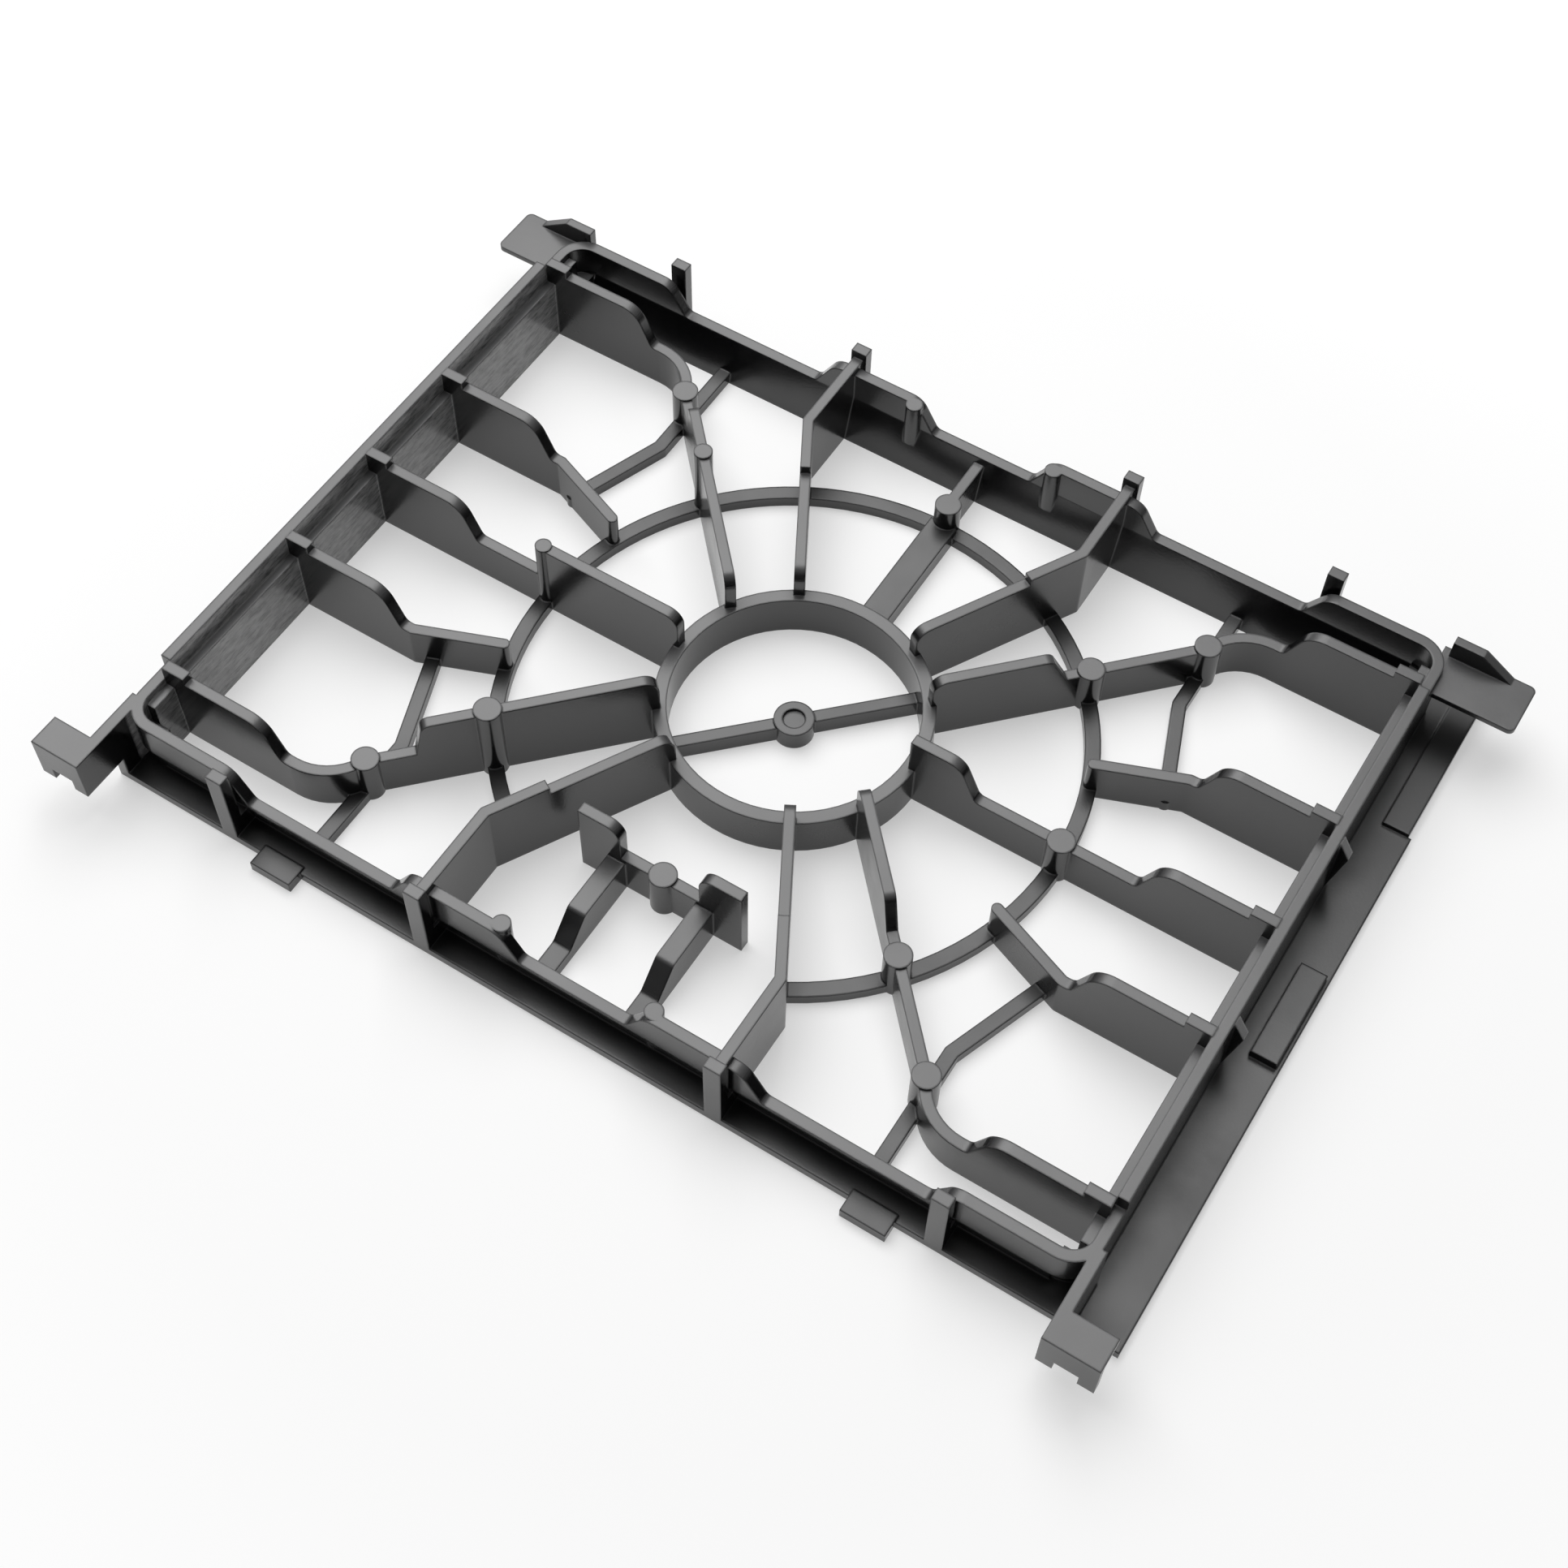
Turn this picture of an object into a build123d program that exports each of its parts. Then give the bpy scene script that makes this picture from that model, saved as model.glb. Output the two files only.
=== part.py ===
from build123d import *
import math
import os

os.makedirs("parts", exist_ok=True)

# All sizes in millimetres. X runs along the long side, Y along the short side, Z is up from the
# underside. Plan positions are measured from the middle of the central ring.

# Ribs
rib_thick = 1.75
rib_low = 7.5              # top of the low stretches
rib_tall = 14.0            # top of the raised stretches
rib_row_in = 19.5          # Y of the inner rib rows
rib_row_out = 48.0         # Y of the outer rib rows
rib_step = 58.5            # X of the middle of the step from raised to low
rib_step_run = 3.0         # length of that step
rib_top_round = 4.0        # rounding at the top of that step
foot_round = 1.2           # rounding at the foot of all steps
rib_end_run = 2.4          # length of the raised end blocks at the side walls
rib_end_rise = 1.3

# Central ring with its crossbar and hub
ring_radius = 21.0
ring_thick = 2.1
ring_height = 7.4
crossbar_wide = 2.0
crossbar_angle = 45.0      # direction of the crossbar, degrees
crossbar_height = 3.0
hub_radius = 3.1
hub_rise = 0.4
dimple_radius = 1.7
dimple_deep = 0.5

# Web ring and the flat struts
web_radius = 45.9
web_wide = 2.4
web_height = 1.9
strut_wide = 2.2
strut_knee = 34.5          # Y where the struts bend
strut_foot = 0.2           # share of the inner rows' slanted ends where the struts meet them
row_in_angle = 18.7        # direction in which those slanted ends meet the web ring, degrees

# Round bosses where the outer ribs, struts and spokes meet
boss_x = 47.0
boss_y = 42.1
boss_radius = 2.1
boss_rise = 0.4
pad_radius = 2.1           # small bosses on the web ring and on the spokes
pad_rise = 0.4

# Spokes
spoke_thin = 1.7
spoke_x = 24.4             # X where the steep spokes leave the long walls
knee_past = 3.5            # the steep spokes turn towards the ring this far outside the web ring
steep_angle = 60.0         # direction in which the steep spokes meet the ring, degrees
steep_notch = 5.0          # the steep spokes drop this far inside the middle of the web ring
steep_inner_top = 12.6     # top of the steep spokes from there to the ring
slant_angle = 33.0         # direction in which the corner spokes meet the ring, degrees
cross_angle = 29.0         # the same on the other diagonal
thin_pad_radius = 1.5      # boss where the back left corner spoke crosses the web ring
left_rise_at = 7.4         # the left corner spokes rise this far from the boss
left_rise_run = 1.3
right_rise_past = 4.0      # the right corner spokes rise this far inside the web ring
right_rise_run = 2.6
right_spoke_top = 12.8
spoke_round = 2.4          # rounding of the ends of the raised spokes
rise_round = 1.6           # rounding at the top of the rise of the corner spokes
centre_tall = 29.5         # X where the raised part of the right middle rib ends
centre_round = 3.0
centre_post_radius = 1.3   # post on the left middle rib
centre_post_rise = 0.2
flat_spoke_wide = 4.6
flat_spoke_height = 2.9
flat_boss_past = 0.9       # the boss of the flat spoke stands this far outside the web ring's middle
flat_boss_top = 6.6

# Side walls
side_out = 79.0
side_thick = 3.2
side_rim_thick = 1.7
side_step = 11.6           # top of the thick part of the side wall
side_top = 15.2
side_tier_half = 47.0      # half length of the tall stretch of the side rim
bump_thick = 1.5           # three-cornered snap bumps on the outer faces of the side walls
bump_reach = 1.8
bump_foot = 2.0            # heights of the bump's foot, tip and top
bump_tip = 11.0
bump_top = 13.8
bump_middle = 1.15         # Y halfway between the two bumps of a side
bump_apart = 33.3

# Long walls, front and back
wall_in = 53.3             # inner edge of the wall's foot
wall_foot_thick = 2.1
rim_out = 57.5
rim_thick = 1.8
rim_low = 7.7
rim_high = 12.8
rim_edge = 0.7             # upright edge of the wall along the low stretches
corner_round = 5.0
rim_step = 57.5            # X of the middle of the outer rim steps
hump_from = 10.4           # X of the middle of the steps at both ends of the humps
hump_to = 29.0
rim_step_run = 3.2
rim_top_round = 3.0
hump_post_radius = 1.4
hump_post_x = 12.5
hump_post_foot = 4.5

# Bottom flange, fingers and small tabs
flange_x = 86.4            # the flange stands out on the +X side and at the front and back
flange_y = 60.0
flange_thick = 1.6
flange_pad_in = 81.7
flange_pad_wide = 4.1
flange_pad_long = 16.3
flange_pad_y = -4.65
flange_pad_rise = 1.4
flange_step_y = 31.5       # the flange is a little higher behind this line
flange_step_rise = 0.7
flange_step_in = 0.5       # and narrower by this much
finger_x = 58.8
finger_wide = 2.7
finger_deep = 1.8
finger_top = 15.3
finger_web_top = 5.0
tab_x = 49.5
tab_wide = 7.0
tab_out = 2.5              # tabs stand out this far from the flange
tab_root = 1.1
tab_top = 1.9

# Lugs at the four corners
lug_front_in = 77.8
lug_front_out = 86.2
lug_front_reach = 67.6
lug_front_deep = 5.1
lug_thick = 1.4
lug_bar_thick = 1.8
lug_skirt_thick = 1.4
lug_skirt_drop = 7.6
lug_notch_wide = 3.6
lug_notch_high = 2.2
lug_back_out = 90.5
lug_back_shift = 1.5       # the two back lugs lie this far towards +X
lug_back_near = 49.5       # Y of the front edge of the back lugs
lug_back_far = 58.6
lug_back_top = 11.4
lug_back_thick = 0.9
lug_round = 1.0
fin_thick = 1.5
fin_top = 14.6
fin_root = 2.0             # the fins start this far inside the outer face of the side walls
fin_flat = 4.8             # length of their level top
fin_slope = 5.1            # length of the slope after it

# Bracket in the middle of the front
bracket_y = -35.0
bracket_bar_half = 8.0
bracket_bar_height = 7.2
plate_in = 6.6
plate_out = 13.6
plate_tall = 14.0
arm_x = 7.4
arm_wide = 3.0
arm_high = 6.4
arm_low = 2.2
arm_drop = 47.75           # |Y| of the middle of the arm's step
arm_drop_run = 4.1

# Origin at the middle of the footprint: the front lugs reach further than the back fingers
ring_x = -lug_back_shift
ring_y = (lug_front_reach - flange_y) / 2
ring_in = ring_radius - ring_thick
ring_mid = ring_radius - ring_thick / 2
web_mid = web_radius - web_wide / 2
spoke_knee = math.sqrt((web_radius + knee_past)**2 - spoke_x**2)
rim_in = rim_out - rim_thick
wall_out = wall_in + wall_foot_thick
side_in = side_out - side_thick
fin_in = side_out - fin_root
fin_shoulder = fin_in + fin_flat
fin_foot = fin_shoulder + fin_slope
SIDES = (-1, 1)


def level(height):
    """Horizontal plane at a height, centred on the ring."""
    return Plane(origin=(ring_x, ring_y, height))


def upright(start, end):
    """Vertical plane through two plan points, its X along the line and its Y up."""
    run = math.hypot(end[0] - start[0], end[1] - start[1])
    x_dir = ((end[0] - start[0]) / run, (end[1] - start[1]) / run, 0)
    origin = (start[0] + ring_x, start[1] + ring_y, 0)
    return Plane(origin=origin, x_dir=x_dir, z_dir=(x_dir[1], -x_dir[0], 0))


def distance(start, end):
    return math.hypot(end[0] - start[0], end[1] - start[1])


def on_circle(radius, angle):
    return (radius * math.cos(math.radians(angle)), radius * math.sin(math.radians(angle)))


solids = []                # pieces waiting to be joined
cuts = []                  # pieces waiting to be cut away


def keep(face, amount, both=False, cut=False):
    """Extrude a sketch and keep the piece for the next joining."""
    piece = extrude(face.sketch, amount=amount, both=both, mode=Mode.PRIVATE)
    if cut:
        cuts.append(piece)
    else:
        solids.append(piece)


def join_all():
    """Join the waiting pieces to the frame, then make the waiting cuts."""
    add(solids)
    add(cuts, mode=Mode.SUBTRACT)
    solids.clear()
    cuts.clear()


def block(x_span, y_span, z_span, cut=False):
    """Straight block between two values on each axis."""
    with BuildSketch(level(z_span[0])) as face:
        with Locations(((x_span[0] + x_span[1]) / 2, (y_span[0] + y_span[1]) / 2)):
            Rectangle(abs(x_span[1] - x_span[0]), abs(y_span[1] - y_span[0]))
    keep(face, z_span[1] - z_span[0], cut=cut)


def post(centre, radius, top, bottom=0.0, cut=False):
    """Round boss or hole on a plan point."""
    with BuildSketch(level(bottom)) as face:
        with Locations(centre):
            Circle(radius)
    keep(face, top - bottom, cut=cut)


def strip(start, end, wide, top, bottom=0.0):
    """Flat strip between two plan points with round ends."""
    angle = math.degrees(math.atan2(end[1] - start[1], end[0] - start[0]))
    with BuildSketch(level(bottom)) as face:
        with Locations(((start[0] + end[0]) / 2, (start[1] + end[1]) / 2)):
            SlotCenterToCenter(distance(start, end), wide, rotation=angle)
    keep(face, top - bottom)


def rounded_outline(points, rounds):
    """Polygon with some corners rounded; rounds lists pairs of corner number and radius."""
    Polygon(*points, align=None)
    for index, radius in rounds:
        corner = Vector(points[index][0], points[index][1])
        nearest = min(vertices(), key=lambda v: (Vector(v.X, v.Y) - corner).length)
        fillet(nearest, radius)


def rib(start, end, points, rounds=(), thick=rib_thick):
    """Upright rib along a plan line; points are (distance along, height)."""
    with BuildSketch(upright(start, end)) as face:
        rounded_outline(points, rounds)
    keep(face, thick / 2, both=True)


def plain_rib(start, end, top, thick=rib_thick):
    """Upright rib of one height."""
    run = distance(start, end)
    rib(start, end, [(0, 0), (run, 0), (run, top), (0, top)], thick=thick)


def towards(start, end, share):
    """Plan point at a share of the way from one point to another."""
    return (start[0] + share * (end[0] - start[0]), start[1] + share * (end[1] - start[1]))


def on_line(outer, inner, radius):
    """Plan point where a line coming in from outside meets a circle round the ring's middle."""
    run = distance(outer, inner)
    unit = ((inner[0] - outer[0]) / run, (inner[1] - outer[1]) / run)
    ahead = -(outer[0] * unit[0] + outer[1] * unit[1])
    aside = outer[0] * unit[1] - outer[1] * unit[0]
    reach = ahead - math.sqrt(radius**2 - aside**2)
    return (outer[0] + reach * unit[0], outer[1] + reach * unit[1])


def bottom_flange():
    """Flat flange along the front, the back and the +X side, with raised pads on the +X side."""
    with BuildSketch(level(0)) as face:
        with Locations(((flange_x - side_out) / 2, 0)):
            Rectangle(flange_x + side_out, 2 * flange_y)
        Rectangle(2 * side_in, wall_in + wall_out, mode=Mode.SUBTRACT)
        with Locations((flange_x - flange_step_in / 2, (flange_step_y + flange_y) / 2)):
            Rectangle(flange_step_in, flange_y - flange_step_y, mode=Mode.SUBTRACT)
    keep(face, flange_thick)
    block((flange_pad_in, flange_pad_in + flange_pad_wide),
          (flange_pad_y - flange_pad_long / 2, flange_pad_y + flange_pad_long / 2),
          (0, flange_thick + flange_pad_rise))
    block((flange_pad_in, flange_x - flange_step_in), (flange_step_y, flange_y),
          (0, flange_thick + flange_step_rise))


def corner_walls():
    """Lower wall round the corners and along the sides."""
    with BuildSketch(level(0)) as face:
        RectangleRounded(2 * side_out, 2 * wall_out, corner_round)
        Rectangle(2 * side_in, 2 * wall_in, mode=Mode.SUBTRACT)
        Rectangle(2 * (side_out - corner_round), 2 * rim_out, mode=Mode.SUBTRACT)
    keep(face, rim_low)


def rim_loop():
    """Rounded upright rim on top of the walls."""
    with BuildSketch(level(rim_low - rim_edge)) as face:
        RectangleRounded(2 * side_out, 2 * rim_out, corner_round)
        RectangleRounded(2 * (side_out - side_rim_thick), 2 * rim_in, corner_round - rim_thick,
                         mode=Mode.SUBTRACT)
    keep(face, rim_high - rim_low + rim_edge)


def long_wall(side):
    """One long wall, leaning out from its foot to the rim."""
    run = side_out - corner_round
    points = [
        (side * wall_in, 0),
        (side * wall_out, 0),
        (side * rim_out, rim_low - rim_edge),
        (side * rim_out, rim_low),
        (side * rim_in, rim_low),
    ]
    plane = Plane(origin=(ring_x - run, ring_y, 0), x_dir=(0, 1, 0), z_dir=(1, 0, 0))
    with BuildSketch(plane) as face:
        Polygon(*points, align=None)
    keep(face, 2 * run)


def rim_window(left, right, side):
    """Low stretch of the rim of one long wall, with rounded steps at both ends."""
    half = rim_step_run / 2
    far = half + rim_top_round
    above = rim_high + rim_top_round
    points = [
        (left - far, above),
        (left - far, rim_high),
        (left - half, rim_high),
        (left + half, rim_low),
        (right - half, rim_low),
        (right + half, rim_high),
        (right + far, rim_high),
        (right + far, above),
    ]
    rounds = [(2, rim_top_round), (3, foot_round), (4, foot_round), (5, rim_top_round)]
    origin = (ring_x, ring_y + side * (rim_out + rim_thick), 0)
    with BuildSketch(Plane(origin=origin, x_dir=(1, 0, 0), z_dir=(0, -1, 0))) as face:
        rounded_outline(points, rounds)
    keep(face, side * 3 * rim_thick, cut=True)


def snap_bump(side, middle):
    """Three-cornered bump on the outer face of a side wall."""
    root = side * (side_out - side_rim_thick / 2)
    wall = side * side_out
    tip = side * (side_out + bump_reach)
    origin = (ring_x, ring_y + middle + bump_thick / 2, 0)
    with BuildSketch(Plane(origin=origin, x_dir=(1, 0, 0), z_dir=(0, -1, 0))) as face:
        Polygon((root, bump_foot), (wall, bump_foot), (tip, bump_tip), (wall, bump_top), (root, bump_top),
                align=None)
    keep(face, bump_thick)


def side_wall(side):
    """Side wall: thick lower part, thin tall rim on top."""
    block((side * side_in, side * side_out), (-wall_in, wall_in), (0, side_step))
    inner = side * (side_out - side_rim_thick)
    block((inner, side * side_out), (-side_tier_half, side_tier_half), (0, side_top))
    for half in SIDES:
        snap_bump(side, bump_middle + half * bump_apart / 2)


def finger(x, side):
    """Upright finger on the flange, joined to the long wall by a low web."""
    span = (x - finger_wide / 2, x + finger_wide / 2)
    block(span, (side * (flange_y - finger_deep), side * flange_y), (0, finger_top))
    block(span, (side * rim_in, side * flange_y), (0, finger_web_top))


def front_lug(side):
    """Lug plate on an arm of the side wall, with a notched skirt at its front."""
    inner = side * lug_front_in
    outer = side * lug_front_out
    bar = side * (lug_front_in + lug_bar_thick)
    front = -lug_front_reach
    block((inner, bar), (front, -wall_in), (0, rim_high))
    block((inner, outer), (front, front + lug_front_deep), (rim_high - lug_thick, rim_high))
    block((inner, outer), (front, front + lug_skirt_thick), (rim_high - lug_skirt_drop, rim_high))
    low = rim_high - lug_skirt_drop
    block((inner, bar), (front, -flange_y), (0, low), cut=True)
    middle = (inner + outer) / 2
    block((middle - lug_notch_wide / 2, middle + lug_notch_wide / 2),
          (front, front + lug_skirt_thick), (low, low + lug_notch_high), cut=True)


def back_lug(side):
    """Lug plate standing out from a back corner, with a sloping fin on its rear edge."""
    outer = lug_back_shift + side * lug_back_out
    low = lug_back_top - lug_back_thick
    root = side * (side_in + side_thick / 2)
    points = [(root, lug_back_near), (outer, lug_back_near), (outer, lug_back_far), (root, lug_back_far)]
    with BuildSketch(level(low)) as plate:
        rounded_outline(points, [(1, lug_round), (2, lug_round)])
    keep(plate, lug_back_thick)
    inner = lug_back_shift + side * fin_in
    shoulder = lug_back_shift + side * fin_shoulder
    foot = lug_back_shift + side * fin_foot
    plane = Plane(origin=(ring_x, ring_y + lug_back_far, 0), x_dir=(1, 0, 0), z_dir=(0, -1, 0))
    with BuildSketch(plane) as face:
        Polygon((inner, low), (foot, low), (foot, lug_back_top), (shoulder, fin_top), (inner, fin_top),
                align=None)
    keep(face, fin_thick)


def side_rib(side, row):
    """Rib from a side wall: a higher end block, then a rounded step down; returns its inner end."""
    start = (side * (side_in + side_thick / 2), row)
    end = (side * (rib_step - rib_step_run), row)
    run = distance(start, end)
    step = side_in + side_thick / 2 - rib_step
    half = rib_step_run / 2
    block_end = side_thick / 2 + rib_end_run
    points = [
        (0, 0),
        (run, 0),
        (run, rib_low),
        (step + half, rib_low),
        (step - half, rib_tall),
        (block_end, rib_tall),
        (block_end, rib_tall + rib_end_rise),
        (0, rib_tall + rib_end_rise),
    ]
    rib(start, end, points, [(3, foot_round), (4, rib_top_round)])
    return end


def boss_at(side_x, side_y):
    return (side_x * boss_x, side_y * boss_y)


def outer_row(side_x, side_y):
    """Outer rib with its low stretch curving to a boss, and the flat struts that leave the boss."""
    row = side_y * rib_row_out
    end = side_rib(side_x, row)
    boss = boss_at(side_x, side_y)
    with BuildSketch(level(0)) as face:
        with BuildLine():
            TangentArc(end, boss, tangent=(-side_x, 0))
        trace(line_width=rib_thick)
    keep(face, rib_low)
    post(boss, boss_radius, rib_low + boss_rise)
    strip(boss, (side_x * boss_x, side_y * wall_in), strut_wide, web_height)


def inner_row(side_x, side_y):
    """Inner rib with its slanted end on the web ring, and the strut from there to the boss."""
    row = side_y * rib_row_in
    end = side_rib(side_x, row)
    landing = on_circle(web_mid, row_in_angle)
    landing = (side_x * landing[0], side_y * landing[1])
    strip(end, landing, rib_thick, rib_low)
    knee = (side_x * boss_x, side_y * strut_knee)
    strip(towards(end, landing, strut_foot), knee, strut_wide, web_height)
    strip(knee, boss_at(side_x, side_y), strut_wide, web_height)


def centre_row():
    """Middle ribs: both raised again next to the ring."""
    plain_rib(side_rib(-1, 0), (-web_mid, 0), rib_low)
    run = web_mid - ring_mid
    points = [(0, 0), (run, 0), (run, rib_tall), (0, rib_tall)]
    rib((-web_mid, 0), (-ring_mid, 0), points, [(2, spoke_round)])
    post((-web_mid, 0), centre_post_radius, rib_tall + centre_post_rise)
    right = side_rib(1, 0)
    run = right[0] - ring_mid
    drop = centre_tall - ring_mid
    half = rib_step_run / 2
    points = [(0, 0), (run, 0), (run, rib_low), (drop + half, rib_low), (drop - half, rib_tall),
              (0, rib_tall)]
    rib((ring_mid, 0), right, points, [(3, foot_round), (4, centre_round)])
    post((web_mid, 0), pad_radius, rib_low + pad_rise)


def central_ring():
    with BuildSketch(level(0)) as face:
        Circle(ring_radius)
        Circle(ring_in, mode=Mode.SUBTRACT)
    keep(face, ring_height)
    end = on_circle(ring_mid, crossbar_angle)
    strip((-end[0], -end[1]), end, crossbar_wide, crossbar_height)
    post((0, 0), hub_radius, crossbar_height + hub_rise)
    top = crossbar_height + hub_rise
    post((0, 0), dimple_radius, top, top - dimple_deep, cut=True)


def slant_ends(side_x, side_y):
    """Boss, web crossing and ring end of one corner spoke."""
    boss = boss_at(side_x, side_y)
    angle = slant_angle if side_x == side_y else cross_angle
    ring_end = on_circle(ring_mid, angle)
    ring_end = (side_x * ring_end[0], side_y * ring_end[1])
    return boss, on_line(boss, ring_end, web_mid), ring_end


def steep_ends(side_x, side_y):
    """Wall end, knee, web crossing and ring end of one steep spoke."""
    wall = (side_x * spoke_x, side_y * (flange_y - finger_deep / 2))
    knee = (side_x * spoke_x, side_y * spoke_knee)
    ring_end = on_circle(ring_mid, steep_angle)
    ring_end = (side_x * ring_end[0], side_y * ring_end[1])
    return wall, knee, on_line(knee, ring_end, web_mid), ring_end


def web_ring():
    """Flat outer ring of the web, open at the front between two spokes."""
    start = steep_ends(-1, -1)[2]
    end = steep_ends(1, -1)[2]
    with BuildSketch(level(0)) as face:
        Circle(web_radius)
        Circle(web_radius - web_wide, mode=Mode.SUBTRACT)
        Polygon((0, 0), (2 * start[0], 2 * start[1]), (2 * end[0], 2 * end[1]), align=None,
                mode=Mode.SUBTRACT)
    keep(face, web_height)


def corner_spoke(side_x, side_y):
    """Corner spoke: low from the boss, then raised to the ring; the left ones rise earlier."""
    boss, crossing, ring_end = slant_ends(side_x, side_y)
    run = distance(boss, ring_end)
    if side_x < 0:
        foot = left_rise_at
        head = left_rise_at + left_rise_run
        top = rib_tall
        pad_top = rib_tall + pad_rise
    else:
        foot = distance(boss, crossing) + right_rise_past
        head = foot + right_rise_run
        top = right_spoke_top
        pad_top = rib_low + pad_rise
    points = [(0, 0), (run, 0), (run, top), (head, top), (foot, rib_low), (0, rib_low)]
    rib(boss, ring_end, points, [(2, spoke_round), (3, rise_round)], spoke_thin)
    radius = thin_pad_radius if side_x < side_y else pad_radius
    post(crossing, radius, pad_top)


def steep_spoke(side_x, side_y):
    """Steep spoke: from a finger over the rim to its knee, then to the ring with a small drop."""
    wall, knee, crossing, ring_end = steep_ends(side_x, side_y)
    plain_rib(wall, knee, rib_tall, spoke_thin)
    post(knee, spoke_thin / 2, rib_tall)
    run = distance(knee, ring_end)
    notch = distance(knee, crossing) + steep_notch
    points = [(0, 0), (run, 0), (run, steep_inner_top), (notch, steep_inner_top), (notch, rib_tall),
              (0, rib_tall)]
    rib(knee, ring_end, points, [(2, spoke_round)], spoke_thin)


def flat_spoke():
    """Broad flat spoke to the back, with a boss on the web ring and a rib to the wall."""
    block((-flat_spoke_wide / 2, flat_spoke_wide / 2), (ring_mid, web_mid), (0, flat_spoke_height))
    boss = (0, web_mid + flat_boss_past)
    post(boss, pad_radius, flat_boss_top)
    plain_rib(boss, (0, rim_in), flat_boss_top)


def bracket():
    """Two plates on a low bar with two arms to the front wall."""
    y_span = (bracket_y - rib_thick / 2, bracket_y + rib_thick / 2)
    block((-bracket_bar_half, bracket_bar_half), y_span, (0, bracket_bar_height))
    post((0, bracket_y), pad_radius, bracket_bar_height + pad_rise)
    for side in SIDES:
        run = plate_out - plate_in
        points = [(0, 0), (run, 0), (run, plate_tall), (0, plate_tall)]
        rib((side * plate_in, bracket_y), (side * plate_out, bracket_y), points, [(3, spoke_round)])
        start = (side * arm_x, bracket_y)
        end = (side * arm_x, -wall_out)
        reach = distance(start, end)
        drop = arm_drop + bracket_y
        half = arm_drop_run / 2
        outline = [(0, 0), (reach, 0), (reach, arm_low), (drop + half, arm_low), (drop - half, arm_high),
                   (0, arm_high)]
        rib(start, end, outline, [(3, foot_round), (4, foot_round)], arm_wide)


with BuildPart() as filter_frame:
    bottom_flange()
    corner_walls()
    rim_loop()
    for side in SIDES:
        long_wall(side)
        rim_window(-rim_step, -hump_to, side)
        rim_window(-hump_from, hump_from, side)
        rim_window(hump_to, rim_step, side)
    join_all()
    for side in SIDES:
        side_wall(side)
        front_lug(side)
        back_lug(side)
    join_all()
    for side_x in SIDES:
        for side_y in SIDES:
            finger(side_x * finger_x, side_y)
            finger(side_x * spoke_x, side_y)
            post((side_x * hump_post_x, side_y * rim_in), hump_post_radius, rim_high, hump_post_foot)
            outer_row(side_x, side_y)
            inner_row(side_x, side_y)
            corner_spoke(side_x, side_y)
            steep_spoke(side_x, side_y)
        block((side_x * tab_x - tab_wide / 2, side_x * tab_x + tab_wide / 2),
              (-flange_y - tab_out, -flange_y + tab_root), (0, tab_top))
    central_ring()
    web_ring()
    centre_row()
    flat_spoke()
    bracket()
    join_all()

filter_frame.part.label = "filter_frame"
export_step(filter_frame.part, "parts/filter_frame.step")
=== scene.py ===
import math

import bpy
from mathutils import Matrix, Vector

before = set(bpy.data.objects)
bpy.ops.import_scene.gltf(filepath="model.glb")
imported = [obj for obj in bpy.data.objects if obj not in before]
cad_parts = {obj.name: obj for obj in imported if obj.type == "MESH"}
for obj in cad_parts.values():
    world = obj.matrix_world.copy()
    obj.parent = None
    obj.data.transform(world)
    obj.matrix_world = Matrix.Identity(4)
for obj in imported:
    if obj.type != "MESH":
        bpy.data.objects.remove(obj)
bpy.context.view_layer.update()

MM = 0.001
WHITE = (1.0, 1.0, 1.0, 1.0)

# Camera: solved from the photograph for a square frame of 1932 by 1932 pixels
CAMERA_PLACE = (99.415, -168.539, 295.807)      # mm
CAMERA_TURN = (32.7319, -0.8723, 32.0631)       # degrees
CAMERA_SENSOR = 36.0                            # mm
CAMERA_LENS = 54.56                             # mm
CAMERA_NEAR = 0.01                              # m

# Plastic
PLASTIC_COLOUR = (0.006, 0.006, 0.0065, 1.0)
PLASTIC_WEAR_AND_SHEEN = (0.06, 0.06, 0.062, 1.0)         # rubbed edges, partly a painted highlight along the rounded edges
PLASTIC_SCUFFS_AND_TOP_LIGHT = (0.095, 0.095, 0.096, 1.0)       # scuffed upward faces, partly painted light on the tops
PLASTIC_PAINTED_REFLECTION = (0.40, 0.40, 0.402, 1.0)      # painted reflection of the floor on the inner face of the left wall, in streaks
PLASTIC_IOR = 1.5
PLASTIC_SPECULAR = 0.8
PLASTIC_ROUGH = 0.22
TOPS_ROUGH = 0.36
EDGE_ROUND = 0.45 * MM
SCUFF_AND_LIGHT_FROM = 2.4 * MM                         # faces at this height or lower stay black, painted shade on the low flanges
SCUFF_AND_LIGHT_FULL = 7.4 * MM
REFLECTION_FROM = -76.5 * MM                       # the left wall lies beyond this X
REFLECTION_HALF = 53.0 * MM                        # and within this Y of the middle
REFLECTION_FADE = 0.5 * MM
PATCH_SCALE = 90.0
FLOW_SCALE = 28.0
GRAIN_SCALE = 2600.0
GRAIN_DEPTH = 0.08 * MM
GRAIN_STRENGTH = 0.10
REFLECTION_STREAK_SCALE = 900.0
REFLECTION_STREAK_STRETCH = (1.0, 0.35, 1.6)

# Surroundings
FLOOR_SIZE = 6.0                                # m
FLOOR_COLOUR = (0.92, 0.92, 0.92, 1.0)
FLOOR_SEEN = (0.55, 0.55, 0.55, 1.0)            # the camera sees the floor with paler shadows
FLOOR_GLOW = 0.45
FLOOR_FAR_GLOW = 1.0                            # far from the object the floor fades to white
FADE_FROM = 0.11                                # m from the middle
FADE_TO = 0.90
WORLD_LOW = 0.08                                # dark sides of the studio
WORLD_HIGH = 0.25                               # pale ceiling
KEY_PLACE = (-440, 330, 1060)                   # mm
KEY_SIZE = 1250                                 # mm
KEY_WATTS = 16.5


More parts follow.
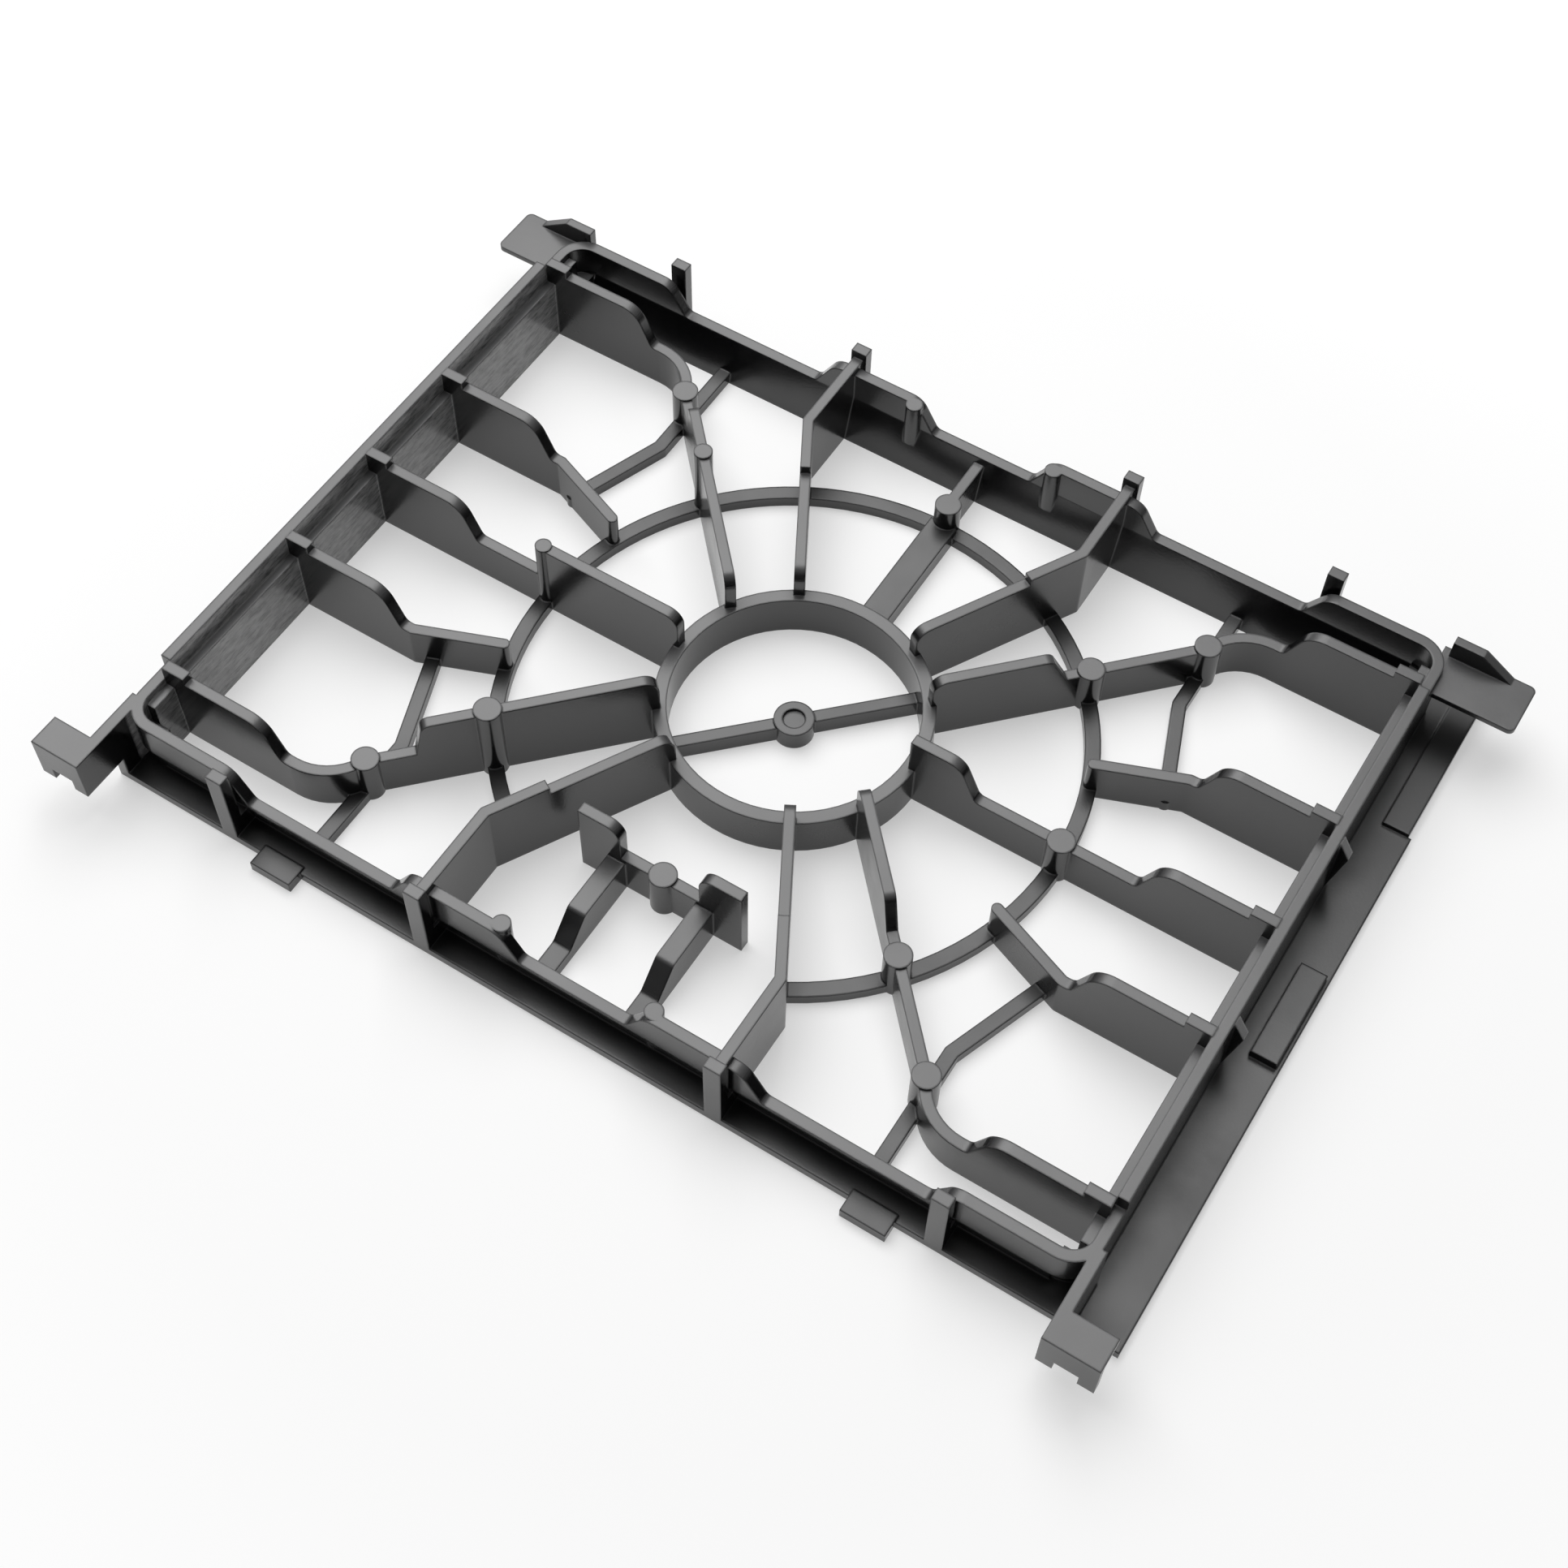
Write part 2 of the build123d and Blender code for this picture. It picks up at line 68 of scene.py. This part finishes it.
class Nodes:
    """Small helper that adds and links the nodes of one material or world."""

    def __init__(self, owner):
        owner.use_nodes = True
        self.tree = owner.node_tree
        self.tree.nodes.clear()

    def add(self, kind, **values):
        node = self.tree.nodes.new("ShaderNode" + kind)
        for key, value in values.items():
            setattr(node, key, value)
        return node

    def link(self, source, target):
        self.tree.links.new(source, target)

    def noise(self, coords, scale, detail, rough):
        node = self.add("TexNoise")
        node.inputs["Scale"].default_value = scale
        node.inputs["Detail"].default_value = detail
        node.inputs["Roughness"].default_value = rough
        self.link(coords, node.inputs["Vector"])
        return node.outputs["Fac"]

    def remap(self, value, low, high, to_low, to_high):
        node = self.add("MapRange")
        node.inputs["From Min"].default_value = low
        node.inputs["From Max"].default_value = high
        node.inputs["To Min"].default_value = to_low
        node.inputs["To Max"].default_value = to_high
        self.link(value, node.inputs["Value"])
        return node.outputs["Result"]

    def math(self, operation, *sources):
        node = self.add("Math", operation=operation)
        for source, socket in zip(sources, node.inputs):
            self.link(source, socket)
        return node.outputs["Value"]

    def vector_math(self, operation, *sources):
        node = self.add("VectorMath", operation=operation)
        for source, socket in zip(sources, node.inputs):
            self.link(source, socket)
        return node.outputs["Value"]

    def split(self, vector):
        node = self.add("SeparateXYZ")
        self.link(vector, node.inputs["Vector"])
        return node.outputs

    def layer(self, under, colour, amount):
        """A colour laid over another by an amount; the one under it is a colour or a socket."""
        node = self.add("Mix", data_type="RGBA")
        if isinstance(under, tuple):
            node.inputs["A"].default_value = under
        else:
            self.link(under, node.inputs["A"])
        node.inputs["B"].default_value = colour
        self.link(amount, node.inputs["Factor"])
        return node.outputs["Result"]

    def mix(self, amount, first, second):
        node = self.add("MixShader")
        self.link(amount, node.inputs["Fac"])
        self.link(first, node.inputs[1])
        self.link(second, node.inputs[2])
        return node.outputs["Shader"]


# Lighter colour along the rounded edges: partly rubbed wear, partly a painted highlight.
def edge_wear_and_sheen(n, rounded, normal, patches):
    edge = n.remap(n.vector_math("DOT_PRODUCT", rounded, normal), 0.98, 0.80, 0.0, 1.0)
    return n.math("MULTIPLY", edge, n.remap(patches, 0.45, 0.70, 0.1, 0.75))


# Lighter upward faces above the low flanges: partly scuffing, partly painted light on the tops; the low
# flanges stay black as painted shade.
def scuffs_and_top_light(n, upward, place, patches):
    high = n.remap(place["Z"], SCUFF_AND_LIGHT_FROM, SCUFF_AND_LIGHT_FULL, 0.0, 1.0)
    scuff_and_top_light = n.math("MULTIPLY", upward, n.remap(patches, 0.3, 0.7, 0.75, 1.0))
    return n.math("MULTIPLY", scuff_and_top_light, high)


# Pale streaked grey on the inward face of the left wall: a painted reflection of the floor.
def painted_wall_reflection(n, coords, place, facing):
    left = n.remap(place["X"], REFLECTION_FROM, REFLECTION_FROM - REFLECTION_FADE, 0.0, 1.0)
    sideways = n.math("ABSOLUTE", place["Y"])
    between = n.remap(sideways, REFLECTION_HALF, REFLECTION_HALF + REFLECTION_FADE, 1.0, 0.0)
    inward = n.math("MULTIPLY", left, n.remap(facing["X"], 0.6, 0.9, 0.0, 1.0))
    inward = n.math("MULTIPLY", inward, between)
    stretch = n.add("Mapping")
    stretch.inputs["Scale"].default_value = REFLECTION_STREAK_STRETCH
    n.link(coords, stretch.inputs["Vector"])
    reflection_streaks = n.noise(stretch.outputs["Vector"], REFLECTION_STREAK_SCALE, 4.0, 0.7)
    return n.math("MULTIPLY", inward, n.remap(reflection_streaks, 0.35, 0.62, 0.30, 1.0))


def fine_grain(n, coords, rounded):
    bump = n.add("Bump")
    bump.inputs["Strength"].default_value = GRAIN_STRENGTH
    bump.inputs["Distance"].default_value = GRAIN_DEPTH
    n.link(n.noise(coords, GRAIN_SCALE, 2.0, 0.5), bump.inputs["Height"])
    n.link(rounded, bump.inputs["Normal"])
    return bump.outputs["Normal"]


def plastic():
    """Satin black moulded plastic: rounded worn edges partly lightened as a painted highlight, scuffed
    tops partly lightened as painted top light, a painted reflection inside the left wall, fine grain and
    faint flow marks.
    """
    material = bpy.data.materials.new("satin_plastic")
    n = Nodes(material)
    coords = n.add("TexCoord").outputs["Object"]
    normal = n.add("NewGeometry").outputs["Normal"]
    round_edge = n.add("Bevel", samples=6)
    round_edge.inputs["Radius"].default_value = EDGE_ROUND
    rounded = round_edge.outputs["Normal"]

    place = n.split(coords)
    facing = n.split(normal)
    upward = n.remap(facing["Z"], 0.6, 0.95, 0.0, 1.0)
    patches = n.noise(coords, PATCH_SCALE, 5.0, 0.6)
    flow = n.noise(coords, FLOW_SCALE, 3.0, 0.55)

    colour = n.layer(PLASTIC_COLOUR, PLASTIC_WEAR_AND_SHEEN, edge_wear_and_sheen(n, rounded, normal, patches))
    colour = n.layer(colour, PLASTIC_SCUFFS_AND_TOP_LIGHT, scuffs_and_top_light(n, upward, place, patches))
    colour = n.layer(colour, PLASTIC_PAINTED_REFLECTION, painted_wall_reflection(n, coords, place, facing))

    rough = n.remap(upward, 0.0, 1.0, PLASTIC_ROUGH, TOPS_ROUGH)
    rough = n.math("ADD", rough, n.remap(flow, 0.3, 0.7, -0.04, 0.05))
    rough = n.math("ADD", rough, n.remap(patches, 0.4, 0.75, -0.03, 0.05))

    shader = n.add("BsdfPrincipled")
    shader.inputs["IOR"].default_value = PLASTIC_IOR
    shader.inputs["Specular IOR Level"].default_value = PLASTIC_SPECULAR
    n.link(colour, shader.inputs["Base Color"])
    n.link(rough, shader.inputs["Roughness"])
    n.link(fine_grain(n, coords, rounded), shader.inputs["Normal"])
    n.link(shader.outputs["BSDF"], n.add("OutputMaterial").inputs["Surface"])
    return material


def floor_material():
    """White floor; camera and reflections see it with paler shadows, fading into a white background."""
    material = bpy.data.materials.new("white_floor")
    n = Nodes(material)
    plain = n.add("BsdfDiffuse")
    plain.inputs["Color"].default_value = FLOOR_COLOUR
    pale = n.add("BsdfDiffuse")
    pale.inputs["Color"].default_value = FLOOR_SEEN
    glow = n.add("Emission")
    distance = n.vector_math("LENGTH", n.add("TexCoord").outputs["Object"])
    n.link(n.remap(distance, FADE_FROM, FADE_TO, FLOOR_GLOW, FLOOR_FAR_GLOW), glow.inputs["Strength"])
    seen = n.add("AddShader")
    n.link(pale.outputs["BSDF"], seen.inputs[0])
    n.link(glow.outputs["Emission"], seen.inputs[1])
    path = n.add("LightPath").outputs
    looked_at = n.math("MAXIMUM", path["Is Camera Ray"], path["Is Glossy Ray"])
    surface = n.mix(looked_at, plain.outputs["BSDF"], seen.outputs["Shader"])
    n.link(surface, n.add("OutputMaterial").inputs["Surface"])
    return material


def make_floor():
    bpy.ops.mesh.primitive_plane_add(size=FLOOR_SIZE, location=(0, 0, 0))
    floor = bpy.context.object
    floor.name = "floor"
    floor.data.materials.append(floor_material())


def make_world():
    """Pale ceiling and dark sides light the object; the camera sees plain white."""
    world = bpy.data.worlds.new("studio")
    n = Nodes(world)
    light = n.add("Background")
    light.inputs["Color"].default_value = WHITE
    height = n.split(n.add("TexCoord").outputs["Generated"])["Z"]
    n.link(n.remap(height, 0.0, 1.0, WORLD_LOW, WORLD_HIGH), light.inputs["Strength"])
    white = n.add("Background")
    white.inputs["Color"].default_value = WHITE
    camera_ray = n.add("LightPath").outputs["Is Camera Ray"]
    surface = n.mix(camera_ray, light.outputs["Background"], white.outputs["Background"])
    n.link(surface, n.add("OutputWorld").inputs["Surface"])
    bpy.context.scene.world = world


def make_softbox(name, place, size, watts):
    """Square area light at a place in millimetres, pointing at the middle of the object."""
    light = bpy.data.lights.new(name, "AREA")
    light.shape = "SQUARE"
    light.size = size * MM
    light.energy = watts
    lamp = bpy.data.objects.new(name, light)
    lamp.location = Vector(place) * MM
    lamp.rotation_euler = (-lamp.location).to_track_quat("-Z", "Y").to_euler()
    bpy.context.scene.collection.objects.link(lamp)


def make_camera():
    camera = bpy.data.objects.new("camera", bpy.data.cameras.new("camera"))
    camera.location = Vector(CAMERA_PLACE) * MM
    camera.rotation_euler = [math.radians(angle) for angle in CAMERA_TURN]
    camera.data.sensor_fit = "HORIZONTAL"
    camera.data.sensor_width = CAMERA_SENSOR
    camera.data.lens = CAMERA_LENS
    camera.data.clip_start = CAMERA_NEAR
    bpy.context.scene.collection.objects.link(camera)
    bpy.context.scene.camera = camera


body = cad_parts["filter_frame"]
body.data.materials.clear()
body.data.materials.append(plastic())

make_floor()
make_world()
make_softbox("overhead_back", KEY_PLACE, KEY_SIZE, KEY_WATTS)
make_camera()
bpy.context.scene.view_settings.view_transform = "Standard"
